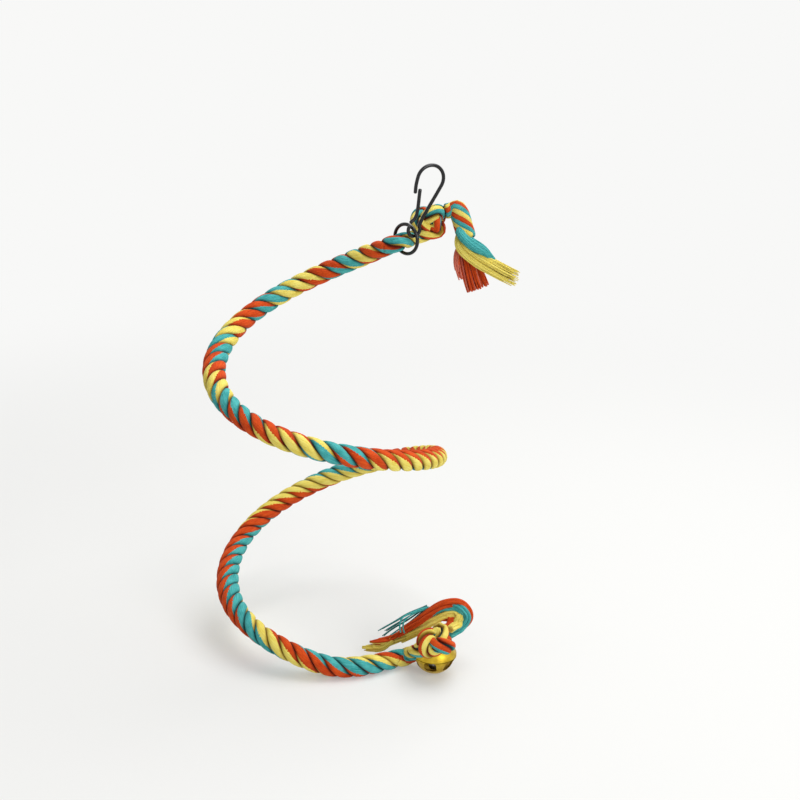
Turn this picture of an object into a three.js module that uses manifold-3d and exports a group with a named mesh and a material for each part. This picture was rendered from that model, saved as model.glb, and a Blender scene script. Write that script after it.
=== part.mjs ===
// Spiral climbing perch for small birds: a wire-cored cotton rope wound as an open spiral,
// with a snap hook on a ring at its top and a slotted bell tied into its lower end.
// Millimetres, +Z up. The perch hangs from its hook, and its lowest turn just touches the floor.

import * as THREE from 'three';
import { mergeVertices } from 'three/addons/utils/BufferGeometryUtils.js';
import Module from 'manifold-3d';

const wasm = await Module();
wasm.setup();

// Clearances
const seatGap = 0.3;
const linkPlay = 0.4;

// Rope and its core wire
const ropeDiameter = 10;
const coreWireDiameter = 2;
const floorFlat = ropeDiameter / 10;
const ropeSides = 10;
const coreSides = 8;

// Spiral, with angles in degrees seen from above and the front at -Y
const coilRadius = 54.6;
const coilTaper = 1.7;
const coilDraw = 3.9;
const coilPitch = 115.7;
const coilStart = 57;
const coilEnd = 653;
const coilTouch = 629;
const coilLanding = 1.6;
const coilTilt = 0.099;
const coilTiltBlend = 30;
const coilStep = 12;
const leanX = -0.041;
const leanY = -0.05;
const leanHeight = 100;

// Top knot and its neck, placed from the upper end of the spiral
const neckDiameter = 9;
const neckStraight = 2;
const topKnotOffset = new THREE.Vector3(21, 8.5, 10.5);
const topKnotLoop = 2.1;
const topKnotDepth = 4.2;
const topKnotTurn = 22;
const topEntrySide = 6.7;
const topEntryDrop = 3.8;
const topEntryFront = 3.7;
const knotRopeDiameter = 7.6;
const knotSides = 8;

// Ring round the neck
const ringWireDiameter = 1.8;
const ringPlay = 1.9;
const ringTilt = 0;
const ringPlace = 0.44;
const ringPull = new THREE.Vector3(0.3, -0.68, 0.7);
const ringSegments = 28;

// Snap hook, drawn in its own plane with the middle of its eye at the origin
const hookWireDiameter = 1.8;
const hookBowRadius = 6.9;
const hookBowHeight = 25.4;
const hookBowShift = 0.9;
const hookNoseDrop = 7.6;
const hookNoseBend = 0.4;
const hookLegTurn = -12;
const hookEyeStart = 50;
const hookEyeTurn = 250;
const hookSides = 8;
const hookGateBend = new THREE.Vector3(1.8, 3.1, 0);
const hookLean = 15;
const hookYaw = 22;

// Tail above the top knot
const tailDiameter = 10;
const tailRootDiameter = 7.4;
const tailReach = 2.3;
const tasselRootRadius = 1.9;
const tasselTipRadius = 1.2;
const tasselSwell = 1.1;
const lowTasselSwell = 0.5;
const tasselSides = 7;
const tasselSteps = 7;

// Bottom knot over the bell, and the rope that leaves it
const bottomKnotLoop = 2.1;
const bottomKnotDepth = 2.4;
const bottomKnotRise = 11.5;
const bottomKnotLean = 30;
const bottomEntryOffset = new THREE.Vector3(-6.5, -1.1, -4.1);
const bellOffset = new THREE.Vector3(18.8, -4.8, 0);
const bightDiameter = 7.6;
const stubInner = new THREE.Vector3(3, 5, 0);
const stubOuter = new THREE.Vector3(9.1, 12.46, -0.28);
const bellPocket = 3.3;

// Bell under the bottom knot
const bellDiameter = 20;
const bellWall = 0.8;
const bellFloorGap = 0.4;
const bellWindows = 6;
const bellWindowWidth = 5.4;
const bellWindowHeight = 5.2;
const bellWindowDrop = 3.1;
const bellHole = 2.6;
const bellLoopRadius = 2.1;
const bellLoopWire = 1.1;
const bellLoopSink = 0.2;
const bellFootRim = 0.8;
const bellFootHeight = 0.8;
const bellFootLap = 0.1;
const bellStemLap = 0.4;
const bellTieDiameter = 1.8;
const pelletDiameter = 5.6;
const bellSegments = 28;

// Routes of the uncoiled rope ends, as points from where each starts
const tailRoute = [[0, 0, 0], [2.2, -0.6, 0.8], [4.6, -1.8, -2.8], [6.4, -3, -8], [8.6, -4, -13.5]];
const topTassels = {
  curl: [[0, 0, 0], [-4, -1, -6], [-6.5, -1.5, -12.5], [-5.5, -2, -20]],
  teal: [[0, 0, 0], [5, -0.5, -2.5], [10, -1, -5.5], [14, -1.5, -9.5]],
  yellow: [[0, 0, 0], [7, -1, -6], [15, -2, -12.5], [24, -3, -19]],
  red: [[0, 0, 0], [3, -1.5, -8], [6, -3, -15.5], [8.5, -4, -23]],
};
const lowRoute = [
  [0, 0, 0], [2.8, 3, 0.2], [6.2, 4.8, 4.2], [3.2, 6.4, 8.2], [-2.6, 6.7, 7.8], [-9.8, 6.7, 3.6],
  [-17.8, 6.7, -2.4], [-25.8, 6.7, -7.9], [-32.8, 6.7, -11.8],
];
const lowRouteSplit = 0.46;
const bottomTassels = {
  yellow: [[0, 0, 0], [-5, 0.3, -0.6], [-11, 1, -1]],
  red: [[0, 0, 0], [-3.2, 0.8, -0.2], [-6.6, 1.6, -0.5]],
};
const backTassel = [[0, 0, 0], [-6, 0.2, -3.8], [-14, 0.4, -9.5], [-23, 0.2, -16]];
const backTasselPlace = new THREE.Vector3(-11.6, 12.2, 5.2);

// Colours and finishes
const finishes = {
  rope: { color: 0xd7502a, roughness: 0.9, metalness: 0 },
  teal: { color: 0x3fa3a6, roughness: 0.9, metalness: 0 },
  yellow: { color: 0xe8cf52, roughness: 0.9, metalness: 0 },
  curl: { color: 0xd95a48, roughness: 0.9, metalness: 0 },
  red: { color: 0xd4482c, roughness: 0.9, metalness: 0 },
  steel: { color: 0x6a6c70, roughness: 0.35, metalness: 1 },
  gunmetal: { color: 0x3d3f44, roughness: 0.35, metalness: 1 },
  brass: { color: 0xd6a83c, roughness: 0.3, metalness: 1 },
};

const ropeRadius = ropeDiameter / 2;
const bellRadius = bellDiameter / 2;
const up = new THREE.Vector3(0, 0, 1);
const perch = new THREE.Group();

// Rings of points along a path, on frames that turn as little as they can
function framesAlong(points) {
  const tangents = points.map((point, i) => {
    const before = points[Math.max(i - 1, 0)];
    const after = points[Math.min(i + 1, points.length - 1)];
    return after.clone().sub(before).normalize();
  });
  const start = Math.abs(tangents[0].z) > 0.9 ? new THREE.Vector3(1, 0, 0) : up;
  let normal = start.clone().addScaledVector(tangents[0], -start.dot(tangents[0])).normalize();
  return tangents.map((tangent) => {
    normal = normal.clone().addScaledVector(tangent, -normal.dot(tangent)).normalize();
    return { normal, binormal: tangent.clone().cross(normal) };
  });
}

// Closed tube with flat ends; radii holds one radius for each point
function tube(points, radii, sides) {
  const frames = framesAlong(points);
  const positions = [];
  const index = [];
  points.forEach((point, i) => {
    for (let k = 0; k < sides; k += 1) {
      const angle = (2 * Math.PI * (k + 0.5)) / sides;
      const corner = point.clone();
      corner.addScaledVector(frames[i].normal, radii[i] * Math.cos(angle));
      corner.addScaledVector(frames[i].binormal, radii[i] * Math.sin(angle));
      positions.push(corner.x, corner.y, corner.z);
    }
  });
  for (let i = 0; i + 1 < points.length; i += 1) {
    for (let k = 0; k < sides; k += 1) {
      const next = (k + 1) % sides;
      const a = i * sides + k;
      const b = i * sides + next;
      index.push(a, b, b + sides, a, b + sides, a + sides);
    }
  }
  const last = (points.length - 1) * sides;
  for (let k = 1; k + 1 < sides; k += 1) {
    index.push(0, k + 1, k);
    index.push(last, last + k, last + k + 1);
  }
  const geometry = new THREE.BufferGeometry();
  geometry.setAttribute('position', new THREE.Float32BufferAttribute(positions, 3));
  geometry.setIndex(index);
  return geometry;
}

const constant = (points, radius) => points.map(() => radius);

const endOf = (points) => ({
  point: points.at(-1),
  direction: points.at(-1).clone().sub(points.at(-2)).normalize(),
});

// Smooth route through chosen points, each measured from an origin
function route(origin, offsets, steps) {
  const points = offsets.map((offset) => new THREE.Vector3(...offset).add(origin));
  return new THREE.CatmullRomCurve3(points, false, 'centripetal').getPoints(steps);
}

function solid(geometry) {
  const bare = geometry.clone();
  bare.deleteAttribute('normal');
  bare.deleteAttribute('uv');
  const merged = mergeVertices(bare, 1e-5);
  const vertProperties = new Float32Array(merged.attributes.position.array);
  const triVerts = new Uint32Array(merged.index.array);
  return new wasm.Manifold(new wasm.Mesh({ numProp: 3, vertProperties, triVerts }));
}

function geometryOf(manifold) {
  const mesh = manifold.getMesh();
  const geometry = new THREE.BufferGeometry();
  geometry.setAttribute('position', new THREE.Float32BufferAttribute(mesh.vertProperties, 3));
  geometry.setIndex(Array.from(mesh.triVerts));
  return geometry;
}

const joined = (geometries) => geometries.map(solid).reduce((sum, part) => sum.add(part));

// Everything under the floor is cut away, which leaves a flat where the rope lies on it
function aboveFloor(part) {
  const depth = 4 * ropeDiameter;
  const slab = new THREE.BoxGeometry(8 * coilRadius, 8 * coilRadius, depth).translate(0, 0, -depth / 2);
  return part.subtract(solid(slab));
}

function ball(centre, radius, sides) {
  return new THREE.SphereGeometry(radius, sides, sides / 2).translate(centre.x, centre.y, centre.z);
}

function addMesh(name, geometry, finish, parent = perch) {
  const mesh = new THREE.Mesh(geometry, new THREE.MeshStandardMaterial(finishes[finish]));
  mesh.name = name;
  parent.add(mesh);
  return mesh;
}

function addGroup(position, quaternion = new THREE.Quaternion()) {
  const group = new THREE.Group();
  group.position.copy(position);
  group.quaternion.copy(quaternion);
  perch.add(group);
  return group;
}

// Centre of the rope at an angle of the spiral; the rope comes to lie on the floor past coilTouch
function spiralPoint(angle) {
  const along = (2 * (angle - coilStart)) / (coilEnd - coilStart) - 1;
  const radius = coilRadius + coilTaper * along - coilDraw * along ** 2;
  const drop = (coilPitch / 360) * (coilTouch - angle);
  const rise = coilLanding * Math.log1p(Math.exp(drop / coilLanding));
  const turn = THREE.MathUtils.degToRad(angle);
  const tilt = coilTilt * radius * Math.cos(turn) * THREE.MathUtils.smoothstep(drop, 0, coilTiltBlend);
  const z = ropeRadius - floorFlat + rise + tilt;
  const x = leanX * (z - leanHeight) + radius * Math.cos(turn);
  const y = leanY * (z - leanHeight) + radius * Math.sin(turn);
  return new THREE.Vector3(x, y, z);
}

// Route of the rope from its top end to its lower end, with a straight run at both ends
function spiralRoute() {
  const steps = Math.round((coilEnd - coilStart) / coilStep);
  const points = [];
  for (let i = 0; i <= steps; i += 1) {
    points.push(spiralPoint(coilStart + ((coilEnd - coilStart) * i) / steps));
  }
  const rising = spiralPoint(coilStart).sub(spiralPoint(coilStart + 1)).normalize();
  const landing = spiralPoint(coilEnd).sub(spiralPoint(coilEnd - 1)).setZ(0).normalize();
  points.unshift(points[0].clone().addScaledVector(rising, ropeDiameter));
  points.push(points.at(-1).clone().addScaledVector(landing, ropeDiameter));
  return { points, rising, landing };
}

// Least gap between turns, measured between centres more than half a turn apart along the rope
function leastGap(points) {
  const lengths = [0];
  points.slice(1).forEach((point, i) => lengths.push(lengths[i] + point.distanceTo(points[i])));
  let least = Infinity;
  points.forEach((point, i) => points.forEach((other, j) => {
    if (lengths[j] - lengths[i] > Math.PI * coilRadius) least = Math.min(least, point.distanceTo(other));
  }));
  return least - ropeDiameter;
}

const spiral = spiralRoute();
const topEnd = spiral.points[0];
const lowEnd = spiral.points.at(-1);
console.log(`least gap of the spiral to itself: ${leastGap(spiral.points).toFixed(1)} mm`);

function addSpiral() {
  const rope = solid(tube(spiral.points, constant(spiral.points, ropeRadius), ropeSides));
  const boreRadius = coreWireDiameter / 2 + seatGap;
  const beyond = [...spiral.points];
  beyond.unshift(topEnd.clone().addScaledVector(spiral.rising, 1));
  beyond.push(lowEnd.clone().addScaledVector(spiral.landing, 1));
  const bore = solid(tube(beyond, constant(beyond, boreRadius), coreSides));
  addMesh('spiral_rope', geometryOf(aboveFloor(rope.subtract(bore))), 'rope');
  const wire = tube(spiral.points, constant(spiral.points, coreWireDiameter / 2), coreSides);
  addMesh('core_wire', wire, 'steel');
}

// Overhand knot: rope in at one side, round its loop and out at the other, in the frame e1, e2, e3
function knotRoute(centre, frame, loop, depth, steps) {
  const place = (x, y, z) => centre.clone()
    .addScaledVector(frame.e1, loop * x)
    .addScaledVector(frame.e2, loop * y)
    .addScaledVector(frame.e3, depth * z);
  const points = [];
  const sweep = THREE.MathUtils.degToRad(155);
  for (let i = 0; i <= steps; i += 1) {
    const a = sweep * ((2 * i) / steps - 1);
    points.push(place(
      Math.sin(a) + 2 * Math.sin(2 * a),
      Math.cos(a) - 2 * Math.cos(2 * a),
      -Math.sin(3 * a),
    ));
  }
  return points;
}

// Lumps of rope along a route, each a short rounded length
function lumps(points, radius) {
  return points.slice(1).map((point, i) => {
    const from = points[i];
    const axis = point.clone().sub(from);
    const capsule = new THREE.CapsuleGeometry(radius, axis.length(), 2, knotSides);
    const turn = new THREE.Quaternion().setFromUnitVectors(new THREE.Vector3(0, 1, 0), axis.normalize());
    const middle = from.clone().add(point).multiplyScalar(0.5);
    return capsule.applyQuaternion(turn).translate(middle.x, middle.y, middle.z);
  });
}

// Rope from a flat end face into a knot
function knotNeck(start, direction, entry, into, radius) {
  const first = start.clone().addScaledVector(direction, seatGap);
  const leave = first.clone().addScaledVector(direction, neckStraight);
  const reach = leave.distanceTo(entry) / 2;
  const curve = new THREE.CubicBezierCurve3(
    leave,
    leave.clone().addScaledVector(direction, reach),
    entry.clone().addScaledVector(into, -reach),
    entry,
  );
  const points = [first, ...curve.getPoints(8)];
  return { curve, tube: tube(points, constant(points, radius), ropeSides) };
}

const topKnotAngle = THREE.MathUtils.degToRad(topKnotTurn);
const topKnotCentre = topEnd.clone().add(topKnotOffset);
const topKnotFrame = {
  e1: new THREE.Vector3(Math.cos(topKnotAngle), 0, Math.sin(topKnotAngle)),
  e2: new THREE.Vector3(-Math.sin(topKnotAngle), 0, Math.cos(topKnotAngle)),
  e3: new THREE.Vector3(0, -1, 0),
};
const knotRadius = knotRopeDiameter / 2;
const topKnot = knotRoute(topKnotCentre, topKnotFrame, topKnotLoop, topKnotDepth, 16);
const topEntry = topKnotCentre.clone()
  .addScaledVector(topKnotFrame.e1, -topEntrySide)
  .addScaledVector(topKnotFrame.e2, -topEntryDrop)
  .addScaledVector(topKnotFrame.e3, topEntryFront);
const neck = knotNeck(topEnd, spiral.rising, topEntry, topKnotFrame.e1, neckDiameter / 2);

function addTopKnot() {
  const pieces = [neck.tube, ...lumps([topEntry, ...topKnot], knotRadius)];
  addMesh('top_knot', geometryOf(joined(pieces)), 'rope');
}

// Ring on the neck, pulled towards the hook until its far side meets the rope
const ringSlant = THREE.MathUtils.degToRad(ringTilt);
const ringRadius = (neckDiameter / 2 + ringWireDiameter / 2 + ringPlay) / Math.cos(ringSlant);
function ringFrame() {
  const along = neck.curve.getTangentAt(ringPlace);
  const out = ringPull.clone().addScaledVector(along, -ringPull.dot(along)).normalize();
  const normal = along.clone().multiplyScalar(Math.cos(ringSlant)).addScaledVector(out, -Math.sin(ringSlant));
  const link = out.clone().multiplyScalar(Math.cos(ringSlant)).addScaledVector(along, Math.sin(ringSlant));
  const shift = ringPlay - 2 * seatGap;
  const centre = neck.curve.getPointAt(ringPlace).addScaledVector(out, shift);
  return { centre, normal, link, linkPoint: centre.clone().addScaledVector(link, ringRadius) };
}

const ring = ringFrame();

function addRing() {
  const geometry = new THREE.TorusGeometry(ringRadius, ringWireDiameter / 2, hookSides, ringSegments);
  const mesh = addMesh('link_ring', geometry, 'gunmetal');
  mesh.position.copy(ring.centre);
  mesh.quaternion.setFromUnitVectors(up, ring.normal);
}

// Hook, drawn in its own plane: x across it, y along it from the eye to the bow
const hookAngle = THREE.MathUtils.degToRad(hookLean);
const hookAlong = new THREE.Vector3(Math.sin(hookAngle), 0, Math.cos(hookAngle));
const hookAcross = new THREE.Vector3(Math.cos(hookAngle), 0, -Math.sin(hookAngle))
  .applyAxisAngle(hookAlong, THREE.MathUtils.degToRad(hookYaw));
const hookNormal = new THREE.Vector3().crossVectors(hookAcross, hookAlong);
const hookBasis = new THREE.Matrix4().makeBasis(hookAcross, hookAlong, hookNormal);
const linkSquareness = Math.abs(new THREE.Vector3().crossVectors(ring.normal, ring.link).dot(hookNormal));
const hookEyeRadius = (ringWireDiameter / 2 + hookWireDiameter / 2 + linkPlay) / linkSquareness;

function arcPoints(centreX, centreY, radius, fromDegrees, toDegrees, steps) {
  const points = [];
  for (let i = 0; i <= steps; i += 1) {
    const angle = THREE.MathUtils.degToRad(fromDegrees + ((toDegrees - fromDegrees) * i) / steps);
    points.push(new THREE.Vector3(centreX + radius * Math.cos(angle), centreY + radius * Math.sin(angle), 0));
  }
  return points;
}

function addHook() {
  const wire = hookWireDiameter / 2;
  const hook = addGroup(ring.linkPoint, new THREE.Quaternion().setFromRotationMatrix(hookBasis));
  const nose = new THREE.Vector3(hookBowShift - hookBowRadius + wire, hookBowHeight - hookNoseDrop, 0);
  const bend = new THREE.Vector3(-hookNoseBend * hookWireDiameter, hookNoseDrop / 2, 0);
  const eye = arcPoints(0, 0, hookEyeRadius, hookEyeStart, hookEyeStart - hookEyeTurn, 12);
  const path = [
    nose,
    nose.clone().add(bend),
    ...arcPoints(hookBowShift, hookBowHeight, hookBowRadius, 180, hookLegTurn, 12),
    ...eye,
  ];
  addMesh('hook_frame', tube(path, constant(path, wire), hookSides), 'gunmetal', hook);
  const root = eye.at(-1).clone().add(new THREE.Vector3(0, hookWireDiameter + seatGap, 0));
  const tip = nose.clone().add(new THREE.Vector3(hookWireDiameter + seatGap, hookWireDiameter, 0));
  const gate = [root, root.clone().add(hookGateBend), tip];
  addMesh('hook_gate', tube(gate, constant(gate, wire), hookSides), 'gunmetal', hook);
}

// Limp tail: a rounded root that can turn against the knot, then the rope with its frayed bundles
const tailRadius = tailDiameter / 2;
const tailRootRadius = tailRootDiameter / 2;
const tailSide = topKnotFrame.e1.clone().addScaledVector(topKnotFrame.e2, 0.1).normalize();
const tailPivot = topKnotCentre.clone()
  .addScaledVector(tailSide, tailReach * topKnotLoop + knotRadius + seatGap + tailRootRadius);

// Frayed bundle of yarn along a list of points, fuller in its middle than at its root and tip
function bundle(points, swell) {
  const radii = points.map((point, i) => {
    const along = i / (points.length - 1);
    const plain = THREE.MathUtils.lerp(tasselRootRadius, tasselTipRadius, along);
    return plain + swell * Math.sin(Math.PI * along ** 1.5);
  });
  return tube(points, radii, tasselSides);
}

// Bundles side by side in front of a rope's end; places holds each one's spot on the end face
function addBundles(prefix, bundles, end, places, swell) {
  const across = new THREE.Vector3().crossVectors(end.direction, up).normalize();
  const over = new THREE.Vector3().crossVectors(across, end.direction);
  Object.entries(bundles).forEach(([colour, offsets], i) => {
    const root = end.point.clone()
      .addScaledVector(end.direction, seatGap)
      .addScaledVector(across, places[i][0])
      .addScaledVector(over, places[i][1]);
    const first = root.clone().addScaledVector(end.direction, tasselRootRadius);
    const shape = bundle([root, ...route(first, offsets, tasselSteps)], swell);
    addMesh(`${prefix}_${colour}`, shape, colour);
  });
}

function addTail() {
  const points = route(tailPivot, tailRoute, 8);
  const radii = points.map((point, i) => THREE.MathUtils.lerp(tailRootRadius, tailRadius, Math.min(1, i / 3)));
  const tail = joined([tube(points, radii, ropeSides), ball(tailPivot, tailRootRadius, 12)]);
  addMesh('top_tail', geometryOf(tail), 'rope');
  const spot = tasselRootRadius * Math.SQRT2 + seatGap;
  const places = [[spot, 0], [0, spot], [-spot, 0], [0, -spot]];
  addBundles('top_tassel', topTassels, endOf(points), places, tasselSwell);
}

// Bell: two shells that meet at the middle, with windows round the lower one
const bellCentre = new THREE.Vector3(lowEnd.x, lowEnd.y, bellRadius + bellFloorGap).add(bellOffset);
const loopHeight = bellRadius + bellLoopRadius + bellLoopWire / 2 - bellLoopSink;

function shellArc(radius, fromDegrees, toDegrees, steps) {
  const points = [];
  for (let i = 0; i <= steps; i += 1) {
    const angle = THREE.MathUtils.degToRad(fromDegrees + ((toDegrees - fromDegrees) * i) / steps);
    points.push(new THREE.Vector2(Math.max(0, radius * Math.cos(angle)), radius * Math.sin(angle)));
  }
  return points;
}

// Half shell as a closed ring of wall, from the rim to an opening or to the axis
function bellHalf(openingRadius) {
  const inner = bellRadius - bellWall;
  const rim = THREE.MathUtils.radToDeg(Math.asin(seatGap / 2 / inner));
  const stop = (radius) => THREE.MathUtils.radToDeg(Math.acos(openingRadius / radius));
  const profile = [...shellArc(bellRadius, rim, stop(bellRadius), 6), ...shellArc(inner, stop(inner), rim, 6)];
  profile.push(profile[0].clone());
  return new THREE.LatheGeometry(profile, bellSegments);
}

// Loop whose stem passes through the crown to a foot inside it
function bellLoop() {
  const stemRadius = bellHole / 2 - seatGap;
  const footRadius = bellHole / 2 + bellFootRim;
  const crown = bellRadius - bellWall - seatGap;
  const stemLength = loopHeight - bellLoopRadius - crown + bellStemLap;
  const stem = new THREE.CylinderGeometry(stemRadius, stemRadius, stemLength, 10).rotateX(Math.PI / 2);
  const foot = new THREE.CylinderGeometry(footRadius, footRadius, bellFootHeight, 12).rotateX(Math.PI / 2);
  const loop = new THREE.TorusGeometry(bellLoopRadius, bellLoopWire / 2, 8, 20).rotateY(Math.PI / 2);
  return geometryOf(joined([
    stem.translate(0, 0, crown - bellStemLap + stemLength / 2),
    foot.translate(0, 0, crown - bellFootLap - bellFootHeight / 2 - footRadius ** 2 / bellDiameter),
    loop.translate(0, 0, loopHeight),
  ]));
}

function addBell() {
  const bell = addGroup(bellCentre);
  addMesh('bell_upper', bellHalf(bellHole / 2).rotateX(Math.PI / 2), 'brass', bell);
  let lower = solid(bellHalf(0).rotateX(-Math.PI / 2));
  for (let i = 0; i < bellWindows; i += 1) {
    const window = new THREE.BoxGeometry(bellRadius, bellWindowWidth, bellWindowHeight)
      .translate(bellRadius, 0, -bellWindowDrop)
      .rotateZ((2 * Math.PI * (i + 0.25)) / bellWindows);
    lower = lower.subtract(solid(window));
  }
  addMesh('bell_lower', geometryOf(lower), 'brass', bell);
  addMesh('bell_loop', bellLoop(), 'steel', bell);
  const pellet = addMesh('bell_pellet', new THREE.IcosahedronGeometry(pelletDiameter / 2, 2), 'steel', bell);
  pellet.position.z = pelletDiameter / 2 + bellWall + seatGap - bellRadius;
}

// Bottom knot on the crown of the bell, hollowed where the bell and its loop turn
const bottomLean = THREE.MathUtils.degToRad(bottomKnotLean);
const bottomKnotFrame = {
  e1: new THREE.Vector3(1, 0, 0),
  e2: new THREE.Vector3(0, -Math.cos(bottomLean), -Math.sin(bottomLean)),
  e3: new THREE.Vector3(0, -Math.sin(bottomLean), Math.cos(bottomLean)),
};
const bottomKnotCentre = bellCentre.clone().addScaledVector(bottomKnotFrame.e3, bottomKnotRise);
const bottomKnot = knotRoute(bottomKnotCentre, bottomKnotFrame, bottomKnotLoop, bottomKnotDepth, 16);
const bottomEntry = bottomKnotCentre.clone().add(bottomEntryOffset);
const bottomInto = bottomEntry.clone().sub(lowEnd).normalize();
const bottomNeck = knotNeck(lowEnd, spiral.landing, bottomEntry, bottomInto, neckDiameter / 2);

// Bight that leaves the knot at its side and turns back over it, to the tail that leans behind
const bightRadius = bightDiameter / 2;
const stubStart = bottomKnotCentre.clone().add(stubInner);
const stubEnd = bottomKnotCentre.clone().add(stubOuter);
const bightStart = stubEnd.clone().addScaledVector(stubEnd.clone().sub(stubStart).normalize(), seatGap);

function addBottomKnot() {
  const stub = [stubStart, stubEnd];
  const pieces = [
    bottomNeck.tube,
    tube(stub, constant(stub, bightRadius), ropeSides),
    ...lumps([bottomEntry, ...bottomKnot], knotRadius),
  ];
  const pocketHeight = loopHeight + bellLoopRadius + bellLoopWire / 2 + linkPlay;
  const pocket = new THREE.CylinderGeometry(bellPocket, bellPocket, pocketHeight, 16)
    .rotateX(Math.PI / 2)
    .translate(bellCentre.x, bellCentre.y, bellCentre.z + pocketHeight / 2);
  const knot = joined(pieces)
    .subtract(solid(ball(bellCentre, bellRadius + linkPlay, 24)))
    .subtract(solid(pocket));
  addMesh('bottom_knot', geometryOf(aboveFloor(knot)), 'rope');
  const tieHalf = bellPocket - seatGap;
  const tieMiddle = bellCentre.clone().setZ(bellCentre.z + loopHeight);
  const tiePoints = [-tieHalf, 0, tieHalf].map((x) => tieMiddle.clone().setX(tieMiddle.x + x));
  addMesh('bell_tie', tube(tiePoints, constant(tiePoints, bellTieDiameter / 2), hookSides), 'yellow');
}

// Both parts of a route that is cut across at one place, with square ends and a gap at the cut
function cutRoute(origin, offsets, place, steps) {
  const curve = new THREE.CatmullRomCurve3(
    offsets.map((offset) => new THREE.Vector3(...offset).add(origin)),
    false,
    'centripetal',
  );
  const middle = curve.getPointAt(place);
  const along = curve.getTangentAt(place);
  const beside = (distance) => middle.clone().addScaledVector(along, distance);
  const points = (from, to) => {
    const list = [];
    for (let i = 0; i <= steps; i += 1) list.push(curve.getPointAt(from + ((to - from) * i) / steps));
    return list;
  };
  const margin = 0.05;
  return {
    before: [...points(0, place - margin), beside(-1), beside(0)],
    after: [beside(seatGap), beside(seatGap + 1), ...points(place + margin, 1)],
  };
}

function addBight() {
  const low = cutRoute(bightStart, lowRoute, lowRouteSplit, 9);
  addMesh('bottom_bight', tube(low.before, constant(low.before, bightRadius), ropeSides), 'rope');
  addMesh('bottom_tail', tube(low.after, constant(low.after, bightRadius), ropeSides), 'rope');
  const half = tasselRootRadius + seatGap / 2;
  addBundles('bottom_tassel', bottomTassels, endOf(low.after), [[0, -half], [0, half]], lowTasselSwell);
  const back = route(bightStart.clone().add(backTasselPlace), backTassel, tasselSteps);
  addMesh('bottom_tassel_teal', bundle(back, lowTasselSwell), 'teal');
}

addSpiral();
addTopKnot();
addRing();
addHook();
addTail();
addBell();
addBottomKnot();
addBight();

// Origin on the floor, under the middle of the whole perch
const box = new THREE.Box3().setFromObject(perch);
const middle = box.getCenter(new THREE.Vector3());
perch.position.set(-middle.x, -middle.y, -box.min.z);

export default perch;
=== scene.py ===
import bisect
import random
from math import acos, asin, atan2, copysign, cos, degrees, exp, log1p, pi
from math import radians, remainder, sin, sqrt, tanh

import bmesh
import bpy
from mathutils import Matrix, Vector, noise


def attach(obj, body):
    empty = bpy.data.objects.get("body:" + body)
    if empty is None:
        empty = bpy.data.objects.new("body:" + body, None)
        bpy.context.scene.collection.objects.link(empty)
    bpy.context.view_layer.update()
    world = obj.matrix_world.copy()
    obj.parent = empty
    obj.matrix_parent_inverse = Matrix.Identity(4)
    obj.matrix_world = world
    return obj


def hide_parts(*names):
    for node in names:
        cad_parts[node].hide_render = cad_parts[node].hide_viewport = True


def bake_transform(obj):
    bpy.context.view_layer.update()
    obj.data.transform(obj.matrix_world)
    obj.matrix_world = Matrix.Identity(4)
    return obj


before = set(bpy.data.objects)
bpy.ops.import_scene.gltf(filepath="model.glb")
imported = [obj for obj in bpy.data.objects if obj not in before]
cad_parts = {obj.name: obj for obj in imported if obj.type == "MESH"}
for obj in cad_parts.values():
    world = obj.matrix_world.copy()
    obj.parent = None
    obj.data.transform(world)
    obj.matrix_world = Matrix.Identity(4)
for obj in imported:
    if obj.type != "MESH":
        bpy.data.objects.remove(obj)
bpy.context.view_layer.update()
scene = bpy.context.scene
mm = 0.001
up = Vector((0, 0, 1))

# All shapes are written in millimetres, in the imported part's frame, and scaled as meshes are made
spiralAxis = (-19.4825, -0.8699)
cameraLook = {
    "lookAt": (*spiralAxis, 110),
    "elevation": 20,
    "distance": 620,
    "lens": 56.64,
    "shiftX": 0.0919,
    "shiftY": 0.0366,
    "sensor": 36,
    "near": 10,
}


def makeCamera(look):
    data = bpy.data.cameras.new("camera")
    data.lens = look["lens"]
    data.sensor_width = look["sensor"]
    data.shift_x = look["shiftX"]
    data.shift_y = look["shiftY"]
    data.clip_start = look["near"] * mm
    camera = bpy.data.objects.new("camera", data)
    tilt = radians(look["elevation"])
    back = Vector((0, -cos(tilt), sin(tilt)))
    camera.location = (Vector(look["lookAt"]) + back * look["distance"]) * mm
    camera.rotation_euler = (radians(90) - tilt, 0, 0)
    scene.collection.objects.link(camera)
    scene.camera = camera
    return camera.location / mm


viewPoint = makeCamera(cameraLook)
print("camera placed")


# Small tools for routes
def smoothstep(x, low, high):
    t = min(1, max(0, (x - low) / (high - low)))
    return t * t * (3 - 2 * t)


def lerp(a, b, t):
    return a + (b - a) * t


def curveThrough(points, steps):
    points = [Vector(p) for p in points]
    ends = [points[0] * 2 - points[1]] + points + [points[-1] * 2 - points[-2]]
    out = []
    for i in range(1, len(ends) - 2):
        p0, p1, p2, p3 = ends[i - 1:i + 3]
        k1 = sqrt((p1 - p0).length)
        k2 = k1 + sqrt((p2 - p1).length)
        k3 = k2 + sqrt((p3 - p2).length)
        for n in range(steps):
            k = lerp(k1, k2, n / steps)
            a = p0.lerp(p1, k / k1)
            b = p1.lerp(p2, (k - k1) / (k2 - k1))
            c = p2.lerp(p3, (k - k2) / (k3 - k2))
            d = a.lerp(b, k / k2)
            e = b.lerp(c, (k - k1) / (k3 - k1))
            out.append(d.lerp(e, (k - k1) / (k2 - k1)))
    return out + [points[-1]]


def bezier(a, b, c, d, steps):
    out = []
    for n in range(steps + 1):
        t = n / steps
        q = 1 - t
        out.append(a * q ** 3 + b * (3 * q * q * t) + c * (3 * q * t * t) + d * t ** 3)
    return out


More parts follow.
